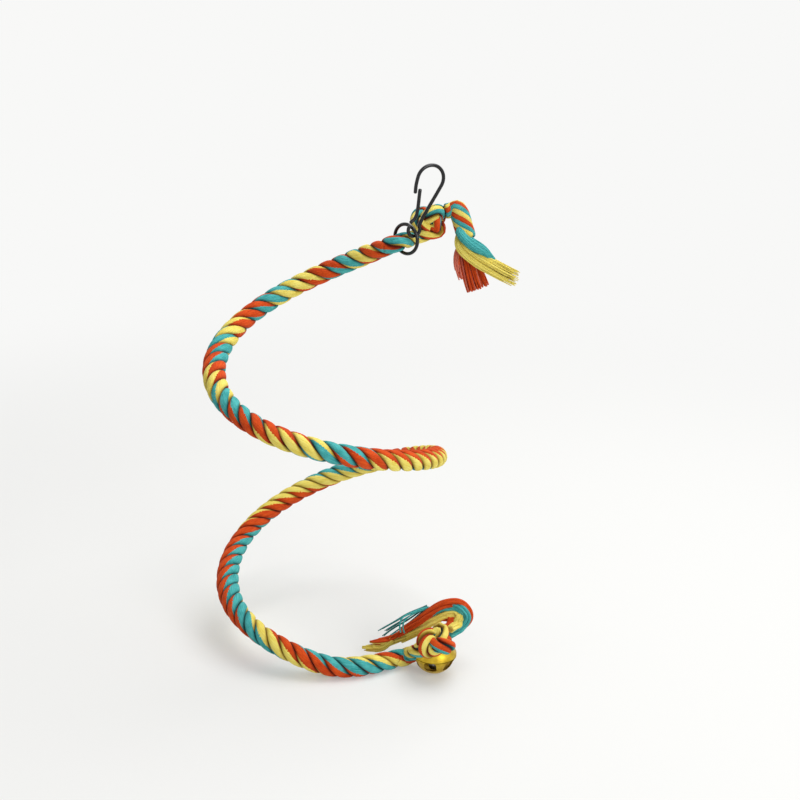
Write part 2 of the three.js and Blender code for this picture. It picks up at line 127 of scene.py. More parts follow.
def lengthsAlong(points):
    total = [0.0]
    for a, b in zip(points, points[1:]):
        total.append(total[-1] + (b - a).length)
    return total


def evenly(points, step):
    total = lengthsAlong(points)
    count = max(2, round(total[-1] / step))
    out = []
    i = 0
    for n in range(count + 1):
        want = total[-1] * n / count
        while i < len(points) - 2 and total[i + 1] < want:
            i += 1
        span = total[i + 1] - total[i]
        out.append(points[i].lerp(points[i + 1], (want - total[i]) / span if span else 0))
    return out


def transport(points, startNormal=None):
    tangents = []
    for i in range(len(points)):
        ahead = points[min(i + 1, len(points) - 1)] - points[max(i - 1, 0)]
        tangents.append(ahead.normalized())
    normal = startNormal or (up if abs(tangents[0].z) < 0.9 else Vector((1, 0, 0)))
    frames = []
    for t in tangents:
        normal = (normal - t * normal.dot(t)).normalized()
        frames.append((t, normal, t.cross(normal)))
    return frames


# Mesh lists, filled by tubes and turned into one object per piece
def newMesh():
    return {"points": [], "faces": [], "uvs": [], "slots": [], "shadeTones": []}


# A point far from a rope's middle is drawn back to its round outside, and given painted shade where it lies
# deep
pressLook = {"free": 0.75, "ease": 0.3, "deepShade": 0.72, "noShade": 0.98}


def pressIn(point, skin):
    middle, tangent, radius = skin
    free = pressLook["free"]
    away = point - middle
    along = tangent * away.dot(tangent)
    out = away - along
    far = out.length / radius
    near = far
    if far > free:
        near = free + (1 - free) * tanh((far - free) / pressLook["ease"])
        out *= near / far
    return middle + along + out, smoothstep(near, pressLook["deepShade"], pressLook["noShade"])


# Rounded ends, as shares of a tube's radius, and the length of one unit of its texture
tubeEnd = {"reach": 0.45, "narrow": 0.66, "bulge": 0.16}
textureLength = 10


def addTube(
    mesh, centres, radii, sides, slot, roundEnds=(True, True), start=0.0, floor=None, skins=None, tone=1.0,
):
    frames = transport(centres)
    total = lengthsAlong(centres)
    skins = skins or [None] * len(centres)
    reach = tubeEnd["reach"]
    narrow = tubeEnd["narrow"]
    rings = [(c, r, start + s, f, k) for c, r, s, f, k in zip(centres, radii, total, frames, skins)]
    c, r, s, f, skin = rings[0]
    if roundEnds[0]:
        rings.insert(0, (c - f[0] * r * reach, r * narrow, s - r * reach, f, skin))
    c, r, s, f, skin = rings[-1]
    if roundEnds[1]:
        rings.append((c + f[0] * r * reach, r * narrow, s + r * reach, f, skin))
    base = len(mesh["points"])
    for c, r, s, f, skin in rings:
        for k in range(sides):
            a = 2 * pi * k / sides
            point = c + f[1] * (r * cos(a)) + f[2] * (r * sin(a))
            # Each point's painted shade: the tube's given tone, or for a rope's yarn the crease shade of how
            # deep it lies
            shade = tone
            if skin:
                point, shade = pressIn(point, skin)
            mesh["points"].append(point)
            mesh["shadeTones"].append(shade)
    for i in range(len(rings) - 1):
        for k in range(sides):
            n = (k + 1) % sides
            a = base + i * sides
            b = a + sides
            mesh["faces"].append((a + k, a + n, b + n, b + k))
            u0, u1 = rings[i][2] / textureLength, rings[i + 1][2] / textureLength
            v0, v1 = k / sides, (k + 1) / sides
            mesh["uvs"] += [u0, v0, u0, v1, u1, v1, u1, v0]
            mesh["slots"].append(slot)
    for ring, turned in ((0, True), (len(rings) - 1, False)):
        c, r, s, f, skin = rings[ring]
        bulge = tubeEnd["bulge"] * r if roundEnds[0 if turned else 1] else 0
        tip = len(mesh["points"])
        point = c + f[0] * (-bulge if turned else bulge)
        mesh["points"].append(pressIn(point, skin)[0] if skin else point)
        mesh["shadeTones"].append(tone)
        for k in range(sides):
            a = base + ring * sides + k
            b = base + ring * sides + (k + 1) % sides
            mesh["faces"].append((b, a, tip) if turned else (a, b, tip))
            u = s / textureLength
            mesh["uvs"] += [u, k / sides, u, (k + 1) / sides, u, (k + 0.5) / sides]
            mesh["slots"].append(slot)
    if floor is not None:
        for i in range(base, len(mesh["points"])):
            if mesh["points"][i].z < floor:
                mesh["points"][i].z = floor


def makePiece(name, mesh, materials, sharp=None):
    data = bpy.data.meshes.new(name)
    data.from_pydata([p * mm for p in mesh["points"]], [], mesh["faces"])
    data.polygons.foreach_set("use_smooth", [True] * len(mesh["faces"]))
    if mesh["slots"]:
        data.polygons.foreach_set("material_index", mesh["slots"])
    if mesh["uvs"]:
        data.uv_layers.new(name="along").data.foreach_set("uv", mesh["uvs"])
    # The depth attribute carries painted shade, 0 for full shade and 1 for none
    if mesh["shadeTones"]:
        data.attributes.new("depth", "FLOAT", "POINT").data.foreach_set("value", mesh["shadeTones"])
    for material in materials:
        data.materials.append(material)
    if sharp is not None:
        data.set_sharp_from_angle(angle=radians(sharp))
    data.update()
    piece = bpy.data.objects.new(name, data)
    scene.collection.objects.link(piece)
    return piece


# Colours as they look, 0 to 255
def colour(r, g, b):
    linear = []
    for c in (r / 255, g / 255, b / 255):
        linear.append(c / 12.92 if c <= 0.04045 else ((c + 0.055) / 1.055) ** 2.4)
    return (*linear, 1)


# A number, a colour or another node's output goes into a socket
def feed(tree, value, socket):
    if isinstance(value, bpy.types.NodeSocket):
        tree.links.new(value, socket)
    else:
        socket.default_value = value


def addNode(tree, kind, sockets=None):
    node = tree.nodes.new("ShaderNode" + kind)
    for name, value in (sockets or {}).items():
        feed(tree, value, node.inputs[name])
    return node


def mathNode(tree, operation, a, b=0.5):
    node = addNode(tree, "Math", {0: a, 1: b})
    node.operation = operation
    return node.outputs[0]


def clampNode(tree, value):
    return mathNode(tree, "MINIMUM", mathNode(tree, "MAXIMUM", value, 0.0), 1.0)


def mixColour(tree, factor, a, b):
    node = addNode(tree, "Mix")
    node.data_type = "RGBA"
    for number, value in ((0, factor), (6, a), (7, b)):
        feed(tree, value, node.inputs[number])
    return node.outputs[2]


def noiseNode(tree, vector, scale, detail):
    return addNode(tree, "TexNoise", {"Vector": vector, "Scale": scale, "Detail": detail}).outputs[0]


def makeGroup(name, inputs, outputs):
    group = bpy.data.node_groups.new(name, "ShaderNodeTree")
    for way, sockets in (("INPUT", inputs), ("OUTPUT", outputs)):
        for socket, kind in sockets.items():
            group.interface.new_socket(socket, in_out=way, socket_type="NodeSocket" + kind)
    into = group.nodes.new("NodeGroupInput").outputs
    out = group.nodes.new("NodeGroupOutput").inputs
    return group, into, out


# A group's colour, roughness and relief led to a surface with a finish of its own
def groupMaterial(name, group, look, values, finish):
    material = bpy.data.materials.new(name)
    material.use_nodes = True
    tree = material.node_tree
    skin = addNode(tree, "Group")
    skin.node_tree = group
    for socket, value in values.items():
        skin.inputs[socket].default_value = value
    relief = addNode(tree, "Bump", {
        "Strength": look["bump"], "Distance": look["relief"], "Height": skin.outputs["Height"],
    })
    shader = tree.nodes["Principled BSDF"]
    feed(tree, skin.outputs["Colour"], shader.inputs["Base Color"])
    feed(tree, skin.outputs["Roughness"], shader.inputs["Roughness"])
    feed(tree, relief.outputs[0], shader.inputs["Normal"])
    for socket, value in finish.items():
        shader.inputs[socket].default_value = value
    return material


# Cotton fibres: fine streaks wound round a yarn, with soft patches of tone, and painted crease shade where
# the yarn lies deep
fibreLook = {
    "twist": 2.4, "fineness": 9.0, "stretch": 0.22,
    "streakDetail": 3, "streakGain": 3.0,
    "patchScale": 2.2, "patchDetail": 2, "patchGain": 1.6,
    "level": 0.6,
    "smoothest": 0.7, "roughSpan": 0.25,
    "bump": 0.45, "relief": 0.0006,
    "finish": {"Specular IOR Level": 0.12, "Sheen Weight": 0.05, "Sheen Roughness": 0.5},
}


def makeFibreGroup(look):
    group, into, out = makeGroup(
        "yarnFibres",
        {"Crest": "Color", "Shade": "Color", "CreaseShade": "Color", "Twist": "Float", "Fineness": "Float"},
        {"Colour": "Color", "Height": "Float", "Roughness": "Float"},
    )
    uv = addNode(group, "UVMap")
    uv.uv_map = "along"
    parts = addNode(group, "SeparateXYZ", {0: uv.outputs[0]})
    around = mathNode(group, "MULTIPLY", parts.outputs[1], 2 * pi)
    turned = mathNode(group, "MULTIPLY", parts.outputs[0], into["Twist"])
    angle = mathNode(group, "ADD", around, turned)
    spread = addNode(group, "CombineXYZ", {
        0: mathNode(group, "COSINE", angle),
        1: mathNode(group, "SINE", angle),
        2: mathNode(group, "MULTIPLY", parts.outputs[0], look["stretch"]),
    })
    streaks = noiseNode(group, spread.outputs[0], into["Fineness"], look["streakDetail"])
    patches = noiseNode(group, uv.outputs[0], look["patchScale"], look["patchDetail"])
    lines = mathNode(group, "SUBTRACT", streaks, 0.5)
    lines = mathNode(group, "MULTIPLY", lines, look["streakGain"])
    clouds = mathNode(group, "SUBTRACT", patches, 0.5)
    clouds = mathNode(group, "MULTIPLY", clouds, look["patchGain"])
    tone = clampNode(group, mathNode(group, "ADD", mathNode(group, "ADD", lines, clouds), look["level"]))
    yarn = mixColour(group, tone, into["Shade"], into["Crest"])
    # Painted shade: the depth attribute mixes in the crease shade colour where a yarn lies deep in a rope or
    # a bundle
    depth = addNode(group, "Attribute")
    depth.attribute_name = "depth"
    rough = mathNode(group, "MULTIPLY", streaks, look["roughSpan"])
    feed(group, mixColour(group, depth.outputs["Fac"], into["CreaseShade"], yarn), out["Colour"])
    feed(group, streaks, out["Height"])
    feed(group, mathNode(group, "ADD", rough, look["smoothest"]), out["Roughness"])
    return group


fibreGroup = makeFibreGroup(fibreLook)


# The crease colour is painted shade, mixed in where a yarn lies deep
def yarnMaterial(name, crest, shade, crease):
    values = {"Crest": colour(*crest), "Shade": colour(*shade), "CreaseShade": colour(*crease)}
    values |= {"Twist": fibreLook["twist"], "Fineness": fibreLook["fineness"]}
    return groupMaterial(name, fibreGroup, fibreLook, values, fibreLook["finish"])


# Metal finish: faint cloudy tarnish, fine scratches, and a rougher skin where it is tarnished
metalLook = {
    "cloudScale": 260, "cloudDetail": 4, "cloudFrom": 0.32, "cloudGain": 2.4,
    "scratchScale": (700, 2600, 500), "scratchTurn": (0.4, 0.2, 0.9), "scratchDetail": 2,
    "tarnishRoughness": 0.14, "scratchRoughness": 0.08, "coatRoughness": 0.06,
    "bump": 0.06, "relief": 0.0002,
}


def makeMetalGroup(look):
    group, into, out = makeGroup(
        "metalSkin",
        {"Bright": "Color", "Dull": "Color", "Smooth": "Float"},
        {"Colour": "Color", "Roughness": "Float", "Height": "Float"},
    )
    where = addNode(group, "TexCoord").outputs["Object"]
    clouds = noiseNode(group, where, look["cloudScale"], look["cloudDetail"])
    stretch = addNode(group, "Mapping", {
        "Vector": where, "Scale": look["scratchScale"], "Rotation": look["scratchTurn"],
    })
    scratches = noiseNode(group, stretch.outputs[0], 1, look["scratchDetail"])
    mask = mathNode(group, "SUBTRACT", clouds, look["cloudFrom"])
    mask = clampNode(group, mathNode(group, "MULTIPLY", mask, look["cloudGain"]))
    tarnish = mathNode(group, "MULTIPLY", mask, look["tarnishRoughness"])
    scratched = mathNode(group, "MULTIPLY", scratches, look["scratchRoughness"])
    rough = mathNode(group, "ADD", into["Smooth"], tarnish)
    feed(group, mixColour(group, mask, into["Bright"], into["Dull"]), out["Colour"])
    feed(group, mathNode(group, "ADD", rough, scratched), out["Roughness"])
    feed(group, scratches, out["Height"])
    return group


metalGroup = makeMetalGroup(metalLook)


def metalMaterial(name, bright, dull, smooth, coat=0):
    values = {"Bright": colour(*bright), "Dull": colour(*dull), "Smooth": smooth}
    finish = {"Metallic": 1, "Coat Weight": coat, "Coat Roughness": metalLook["coatRoughness"]}
    return groupMaterial(name, metalGroup, metalLook, values, finish)


# Each yarn's two colours mix at random along its fibres; the third is the painted shade colour for creases
# and inner yarns
redYarn = yarnMaterial("redYarn", (222, 86, 28), (184, 54, 12), (92, 20, 6))
yellowYarn = yarnMaterial("yellowYarn", (244, 230, 124), (226, 200, 72), (140, 106, 24))
tealYarn = yarnMaterial("tealYarn", (88, 188, 186), (40, 140, 140), (10, 60, 62))
pinkYarn = yarnMaterial("pinkYarn", (232, 138, 116), (206, 94, 76), (150, 60, 50))
ropeYarns = [redYarn, yellowYarn, tealYarn]
hookWire = metalMaterial("hookWire", (26, 26, 29), (12, 12, 14), 0.14, 0.7)
bellGold = metalMaterial("bellGold", (214, 184, 58), (160, 126, 30), 0.32)
wireSteel = metalMaterial("wireSteel", (176, 178, 182), (120, 122, 128), 0.3)
print("materials made")


# The rope's line, from its top knot down the spiral and into the knot over the bell
spiralShape = {
    "radius": 54.6,
    "taper": 1.7,
    "draw": 3.9,
    "pitch": 115.7,
    "start": 57,
    "end": 653,
    "touch": 629,
    "landing": 1.6,
    "tilt": 0.099,
    "tiltBlend": 30,
    "leanX": -0.041, "leanY": -0.05, "leanHeight": 100,
    "lift": 4,
    "straight": 10,
    "shift": (*spiralAxis, 0),
}


def spiralPoint(shape, angle):
    along = 2 * (angle - shape["start"]) / (shape["end"] - shape["start"]) - 1
    radius = shape["radius"] + shape["taper"] * along - shape["draw"] * along ** 2
    drop = shape["pitch"] / 360 * (shape["touch"] - angle)
    rise = shape["landing"] * log1p(exp(drop / shape["landing"]))
    turn = radians(angle)
    tilt = shape["tilt"] * radius * cos(turn) * smoothstep(drop, 0, shape["tiltBlend"])
    z = shape["lift"] + rise + tilt
    x = shape["leanX"] * (z - shape["leanHeight"]) + radius * cos(turn)
    y = shape["leanY"] * (z - shape["leanHeight"]) + radius * sin(turn)
    return Vector((x, y, z)) + Vector(shape["shift"])


def spiralLine(shape):
    count = shape["end"] - shape["start"]
    points = [spiralPoint(shape, shape["start"] + i) for i in range(count + 1)]
    rising = (points[0] - points[1]).normalized()
    landing = points[-1] - points[-2]
    landing.z = 0
    landing.normalize()
    points.insert(0, points[0] + rising * shape["straight"])
    points.append(points[-1] + landing * shape["straight"])
    return points, rising, landing


def knotLine(centre, e1, e2, e3, loop, depth, steps=90, sweep=155):
    points = []
    for i in range(steps + 1):
        a = radians(sweep) * (2 * i / steps - 1)
        x = loop * (sin(a) + 2 * sin(2 * a))
        y = loop * (cos(a) - 2 * cos(2 * a))
        z = depth * -sin(3 * a)
        points.append(centre + e1 * x + e2 * y + e3 * z)
    return points


def neckLine(start, direction, entry, into, straight=2.3, steps=24):
    leave = start + direction * straight
    reach = (leave - entry).length / 2
    return [start] + bezier(leave, leave + direction * reach, entry - into * reach, entry, steps)


coil, rising, landing = spiralLine(spiralShape)
topEnd = coil[0]
lowEnd = coil[-1]

topKnotShape = {
    "offset": (21, 8.5, 10.5),
    "turn": 22,
    "loop": 2.1,
    "depth": 4.2,
    "entry": (-6.7, -3.8, 3.7),
}
topTurn = radians(topKnotShape["turn"])
topFrame = (
    Vector((cos(topTurn), 0, sin(topTurn))),
    Vector((-sin(topTurn), 0, cos(topTurn))),
    Vector((0, -1, 0)),
)
topCentre = topEnd + Vector(topKnotShape["offset"])
topEntry = topCentre.copy()
for axis, reach in zip(topFrame, topKnotShape["entry"]):
    topEntry += axis * reach
topKnotPath = knotLine(topCentre, *topFrame, topKnotShape["loop"], topKnotShape["depth"])
topNeckPath = neckLine(topEnd, rising, topEntry, topFrame[0])

bottomShape = {
    "bellOffset": (18.8, -4.8),
    "bellHeight": 10.4,
    "rise": 11.5,
    "lean": 30,
    "loop": 2.1,
    "depth": 2.4,
    "entry": (-6.5, -1.1, -4.1),
    "stubInner": (3, 5, 0),
    "stubOuter": (9.1, 12.46, -0.28),
}
bellCentre = Vector((lowEnd.x, lowEnd.y, bottomShape["bellHeight"]))
bellCentre += Vector((*bottomShape["bellOffset"], 0))
lowLean = radians(bottomShape["lean"])
lowFrame = (
    Vector((1, 0, 0)),
    Vector((0, -cos(lowLean), -sin(lowLean))),
    Vector((0, -sin(lowLean), cos(lowLean))),
)
lowCentre = bellCentre + lowFrame[2] * bottomShape["rise"]
lowEntry = lowCentre + Vector(bottomShape["entry"])
lowKnotPath = knotLine(lowCentre, *lowFrame, bottomShape["loop"], bottomShape["depth"])
lowNeckPath = neckLine(lowEnd, landing, lowEntry, (lowEntry - lowEnd).normalized())

# Three strands laid right-handed, each of a red, a yellow and a teal yarn
# A swell is a fuller stretch: its place on the spiral in degrees, its reach and its share of the radius
ropeLook = {
    "diameter": 10,
    "radius": 5.2, "neckRadius": 4.7, "knotRadius": 4.0,
    "lay": 23,
    "strands": 3, "strandPlace": 0.6,
    "yarnPlace": 0.15, "yarnSize": 0.42,
    "sides": 14,
    "step": 1.0, "knotStep": 0.6, "cordStep": 4,
    "knotBlend": (3, 16), "neckBlend": 18,
    "wobble": 0.07, "wobblePace": (0.23, 7.1, 3.3),
    "textureStarts": (137, 53),
    "floor": 0.05,
    "swells": [(178, 48, 0.15), (546, 44, 0.17)],
}

# Place on the spiral in degrees, and how far the red yarn stands round from the side that faces the front
yarnTurns = [
    (60, -60), (68, 180), (77, 70), (84, 30), (92, -50), (104, -120), (117, 165), (126, 60), (134, 25),
    (146, -60), (160, 180), (170, 70), (180, 50), (188, -60), (197, -90), (205, 180), (216, 80), (228, 40),
    (244, -60), (263, -130), (273, 120), (287, 30), (300, -60), (350, -50), (372, -10), (392, 10), (412, 120),
    (440, 180), (458, -110), (470, -60), (490, -30), (515, 50), (570, 60), (590, -170), (605, -60), (628, 60),
    (650, 160),
]

# Turn of the yarns past the spiral's ends, in degrees per millimetre, and their turn in the lower neck
endTurns = {"top": 9, "low": 1, "neckTurn": 360, "neckReach": 30}


def wholeRope(look):
    top = evenly(list(reversed(topKnotPath)) + list(reversed(topNeckPath)), look["knotStep"])
    middle = evenly(coil, look["step"])
    low = evenly(lowNeckPath + lowKnotPath, look["knotStep"])
    points = top[:-1] + middle + low[1:]
    marks = (len(top) - 1, len(top) - 1 + len(middle) - 1)
    total = lengthsAlong(points)
    zero = total[marks[0]]
    return points, [s - zero for s in total], transport(points), marks


ropePoints, ropeLengths, ropeFrames, ropeMarks = wholeRope(ropeLook)


def yarnAngles():
    turns = []
    last = None
    for angle, turn in yarnTurns:
        spot = spiralPoint(spiralShape, angle)
        i = min(range(ropeMarks[0], ropeMarks[1] + 1), key=lambda n: (ropePoints[n] - spot).length)
        normal, side = ropeFrames[i][1:]
        front = viewPoint - ropePoints[i]
        whole = turn + degrees(atan2(front.dot(side), front.dot(normal)))
        if last is not None:
            whole = last + remainder(whole - last, 360)
        last = whole
        turns.append((ropeLengths[i], whole))
    angles = []
    for s in ropeLengths:
        if s <= turns[0][0]:
            angles.append(turns[0][1] + (turns[0][0] - s) * endTurns["top"])
        elif s >= turns[-1][0]:
            past = s - turns[-1][0]
            neck = endTurns["neckTurn"] * smoothstep(past, 0, endTurns["neckReach"])
            angles.append(turns[-1][1] + past * endTurns["low"] + neck)
        else:
            n = next(k for k in range(1, len(turns)) if turns[k][0] >= s)
            (s0, a0), (s1, a1) = turns[n - 1], turns[n]
            angles.append(lerp(a0, a1, (s - s0) / (s1 - s0)))
    return [radians(a) for a in angles]


ropeAngles = yarnAngles()


def swellAt(look, i):
    share = 1
    for angle, reach, more in look["swells"]:
        away = (ropePoints[i] - spiralPoint(spiralShape, angle)).length
        share += more * (1 - smoothstep(away, 0, reach))
    return share


def ropeRadius(look, i):
    last = ropeMarks[1]
    away = max(0, -ropeLengths[i], ropeLengths[i] - ropeLengths[last])
    near = min(max(0, ropeLengths[i]), max(0, ropeLengths[last] - ropeLengths[i]))
    if away > 0:
        return lerp(look["neckRadius"], look["knotRadius"], smoothstep(away, *look["knotBlend"]))
    return lerp(look["neckRadius"], look["radius"] * swellAt(look, i), smoothstep(near, 0, look["neckBlend"]))


def angleAt(s):
    i = min(max(1, bisect.bisect_left(ropeLengths, s)), len(ropeLengths) - 1)
    share = (s - ropeLengths[i - 1]) / (ropeLengths[i] - ropeLengths[i - 1])
    return lerp(ropeAngles[i - 1], ropeAngles[i], min(1, max(0, share)))


# A strand keeps its yarns' places while it crosses the front, so each crown keeps its colours
def crownAngle(look, i, lay):
    n, b = ropeFrames[i][1:]
    front = viewPoint - ropePoints[i]
    across = remainder(lay - atan2(front.dot(b), front.dot(n)), 2 * pi)
    if abs(across) > pi / 2:
        across = copysign(pi, across) - across
    return angleAt(ropeLengths[i] - look["lay"] / (2 * pi) * across)


def layYarns(mesh, look, first, last, roundEnds):
    pace = look["wobblePace"]
    strandStart, yarnStart = look["textureStarts"]
    count = len(ropeYarns)
    for strand in range(look["strands"]):
        for yarn in range(count):
            centres = []
            radii = []
            skins = []
            for i in range(first, last + 1):
                r = ropeRadius(look, i)
                t, n, b = ropeFrames[i]
                lay = 2 * pi * (ropeLengths[i] / look["lay"] + strand / look["strands"])
                turn = crownAngle(look, i, lay) + 2 * pi * yarn / count
                x = look["strandPlace"] * cos(lay) + look["yarnPlace"] * cos(turn)
                y = look["strandPlace"] * sin(lay) + look["yarnPlace"] * sin(turn)
                centres.append(ropePoints[i] + n * (r * x) + b * (r * y))
                wobble = noise.noise(Vector((ropeLengths[i] * pace[0], strand * pace[1], yarn * pace[2])))
                radii.append(r * look["yarnSize"] * (1 + look["wobble"] * wobble))
                skins.append((ropePoints[i], t, r))
            start = ropeLengths[first] + strandStart * strand + yarnStart * yarn
            addTube(mesh, centres, radii, look["sides"], yarn, roundEnds, start, look["floor"], skins)


def makeRope(look):
    first, last = ropeMarks
    mesh = newMesh()
    layYarns(mesh, look, first, last, (False, False))
    rope = makePiece("spiralRope", mesh, ropeYarns)
    length = lengthsAlong(coil)[-1] * mm
    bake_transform(rope)
    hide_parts("spiral_rope")
    return length


coreShape = {"radius": 1.0, "sides": 8, "step": 3}


def makeCore(shape):
    mesh = newMesh()
    points = evenly(coil, shape["step"])
    addTube(mesh, points, [shape["radius"]] * len(points), shape["sides"], 0, (False, False))
    wire = makePiece("coreWire", mesh, [wireSteel])
    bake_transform(wire)
    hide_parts("core_wire")


def makeKnot(name, first, last, roundEnds, body, node):
    mesh = newMesh()
    layYarns(mesh, ropeLook, first, last, roundEnds)
    knot = makePiece(name, mesh, ropeYarns)
    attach(knot, body)
    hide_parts(node)


ropeLength = makeRope(ropeLook)
makeCore(coreShape)
makeKnot("topKnotRope", 0, ropeMarks[0], (True, False), "top_end", "top_knot")
makeKnot("bottomKnotRope", ropeMarks[1], len(ropePoints) - 1, (False, True), "spiral", "bottom_knot")
print(f"rope laid, {ropeLength:.3f} m")

# Loose bundles: many thin yarns along one line, drawn apart in the middle and at the tip
# A bundle may have its own flatness, painted shade and tip instead of these
bundleLook = {
    "step": 0.9,
    "sides": 6,
    "root": 4,
    "curveSteps": 8,
    "turn": 2.39996,
    "jitter": 0.3,
    "frayPower": 1.5,
    "waveLeast": 0.2, "waveFrom": 0.15, "wavePace": 5.5,
    "toneLeast": 0.9,
    "flat": 1,
    # Painted shade between yarns: inner yarns drawn partly in the crease shade colour, outer ones in their
    # full colour
    "tone": (0.82, 1),
    "tip": 0.62,
    "shortest": 4,
    "textureStart": 23,
}


def spreadAt(spread, along):
    if along < 0.5:
        return lerp(spread[0], spread[1], smoothstep(along, 0, 0.5))
    return lerp(spread[1], spread[2], smoothstep(along, 0.5, 1))


def addBundle(mesh, path, shape, slots, seed, floor=None):
    look = {**bundleLook, **shape}
    draw = random.Random(seed)
    path = evenly(path, look["step"])
    frames = transport(path, Vector((0, 1, 0)))
    total = lengthsAlong(path)
    for k in range(look["count"]):
        angle = look["turn"] * k + draw.uniform(-look["jitter"], look["jitter"])
        place = sqrt((k + 0.5) / look["count"])
        stop = 1 - look["fray"] * draw.random() ** look["frayPower"]
        curl = draw.uniform(0, 6.28)
        wave = draw.uniform(look["waveLeast"], 1) * look["wave"]
        radius = draw.uniform(*look["thick"])
        # Painted shade: yarns deep in the bundle are darker, with a random spread of tone
        tone = lerp(*look["tone"], place) * draw.uniform(look["toneLeast"], 1)
        last = max(look["shortest"], int(stop * (len(path) - 1)))
        centres = []
        radii = []
        for i in range(last + 1):
            along = total[i] / total[-1]
            reach = spreadAt(look["spread"], along)
            n, b = frames[i][1:]
            turn = angle + look["twist"] * along
            swing = sin(look["wavePace"] * along + curl)
            sway = wave * smoothstep(along, look["waveFrom"], 1) * swing
            x = look["flat"] * (place * reach * cos(turn) + sway)
            y = place * reach * sin(turn) + sway * cos(curl)
            centres.append(path[i] + n * x + b * y)
            radii.append(radius * lerp(1, look["tip"], smoothstep(along, 0.5, 1)))
        slot = slots[k % len(slots)]
        start = look["textureStart"] * k
        addTube(mesh, centres, radii, look["sides"], slot, (True, True), start, floor, None, tone)


routeSteps = 14

# Rope end that turns back over the bell, its strands slack and each of one colour
# A strand has its colour and, along its length, its turn from the outside of the bend and its place
bightShape = {
    "route": [
        (0, 0, 0), (2.8, 3, 0.2), (6.2, 4.8, 4.2), (3.2, 6.4, 8.2), (-2.6, 6.7, 7.8), (-9.8, 6.7, 3.6),
        (-17.8, 6.7, -2.4), (-25.8, 6.7, -7.9), (-32.8, 6.7, -11.8),
    ],
    "radius": 3.8,
    "start": 0.6,
    "gap": 0.3,
    "step": 0.8,
    "strands": [
        (0, [
            (0, -110, 0.5), (0.1, -60, 0.6), (0.2, 0, 0.6), (0.38, 10, 0.55), (0.7, 35, 0.55), (1, 40, 0.4),
        ]),
        (1, [(0, 140, 0.6), (0.3, 150, 0.85), (0.6, 150, 0.8), (1, 170, 0.5)]),
        (2, [
            (0, 20, 0.6), (0.12, 60, 0.6), (0.28, 75, 0.55), (0.4, 80, 0.1), (0.46, -90, 0.1), (1, -100, 0.4),
        ]),
    ],
    "yarns": {
        "count": 11, "spread": (1.6, 1.75, 1.5), "thick": (0.78, 0.95), "fray": 0.22, "twist": 3.5,
        "wave": 0.2,
    },
    "inner": [
        (39.8, -39.2, 20.8), (41.6, -36.4, 21.6), (41.4, -33.8, 23.4), (37.5, -32.6, 23.4), (30, -32.2, 19.4),
    ],
    "innerSteps": 12,
    "seed": 51,
    "innerSeed": 57,
}


def strandAt(keys, along):
    for (s0, a0, p0), (s1, a1, p1) in zip(keys, keys[1:]):
        if along <= s1:
            t = smoothstep(along, s0, s1)
            return radians(lerp(a0, a1, t)), lerp(p0, p1, t)
    return radians(keys[-1][1]), keys[-1][2]


def makeBight(shape, look):
    stubStart = lowCentre + Vector(bottomShape["stubInner"])
    stubEnd = lowCentre + Vector(bottomShape["stubOuter"])
    first = stubEnd + (stubEnd - stubStart).normalized() * shape["gap"]
    route = [stubStart.lerp(stubEnd, shape["start"])] + [first + Vector(p) for p in shape["route"]]
    points = evenly(curveThrough(route, routeSteps), shape["step"])
    frames = transport(points)
    total = lengthsAlong(points)
    toFront = Vector((0, -1, 0))
    mesh = newMesh()
    for slot, keys in shape["strands"]:
        line = []
        for i, point in enumerate(points):
            t = frames[i][0]
            front = (toFront - t * toFront.dot(t)).normalized()
            angle, place = strandAt(keys, total[i] / total[-1])
            away = t.cross(front) * cos(angle) + front * sin(angle)
            line.append(point + away * (place * shape["radius"]))
        addBundle(mesh, line, shape["yarns"], [slot], shape["seed"] + slot, look["floor"])
    inner = curveThrough(shape["inner"], shape["innerSteps"])
    addBundle(mesh, inner, shape["yarns"], [0], shape["innerSeed"], look["floor"])
    bight = makePiece("bottomBightRope", mesh, ropeYarns)
    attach(bight, "spiral")
    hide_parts("bottom_bight", "bottom_tail")
    return first, points


bightStart, bightPath = makeBight(bightShape, ropeLook)

# Tail above the top knot, its nine yarns laid the other way in one round layer
tailShape = {
    "reach": 12.63,
    "route": [(0, 0, 0), (1.8, -0.6, 0.8), (3.7, -1.8, -2.8), (5.2, -3, -7.6), (6.8, -4, -12.4)],
    "rootRadius": 4.2,
    "radius": 5.2,
    "lay": -27,
    "rise": 0.1,
    "inside": (3, 0, 0.5),
    "step": 0.7,
    "blend": (2, 9),
    "yarns": [2, 1, 0] * 3,
    "textureStart": 41,
    "yarnPlace": 0.6, "yarnSize": 0.4,
}
tailWay = (topFrame[0] + topFrame[1] * tailShape["rise"]).normalized()
tailPivot = topCentre + tailWay * tailShape["reach"]


def makeTail(shape, look):
    route = [tailPivot + Vector(p) for p in shape["route"]]
    inside = [tailPivot - Vector(shape["inside"])]
    points = evenly(curveThrough(inside + route, routeSteps), shape["step"])
    frames = transport(points)
    total = lengthsAlong(points)
    count = len(shape["yarns"])
    mesh = newMesh()
    for yarn, slot in enumerate(shape["yarns"]):
        centres = []
        radii = []
        skins = []
        for i, point in enumerate(points):
            t, n, b = frames[i]
            r = lerp(shape["rootRadius"], shape["radius"], smoothstep(total[i], *shape["blend"]))
            lay = radians(360 * (total[i] / shape["lay"] + yarn / count))
            centres.append(point + (n * cos(lay) + b * sin(lay)) * (r * shape["yarnPlace"]))
            radii.append(r * shape["yarnSize"])
            skins.append((point, t, r))
        start = shape["textureStart"] * yarn
        addTube(mesh, centres, radii, look["sides"], slot, (True, True), start, None, skins)
    tail = makePiece("topTailRope", mesh, ropeYarns)
    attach(tail, "top_tail")
    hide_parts("top_tail")
    return points


tailPath = makeTail(tailShape, ropeLook)
print("knots, bight and tail made")

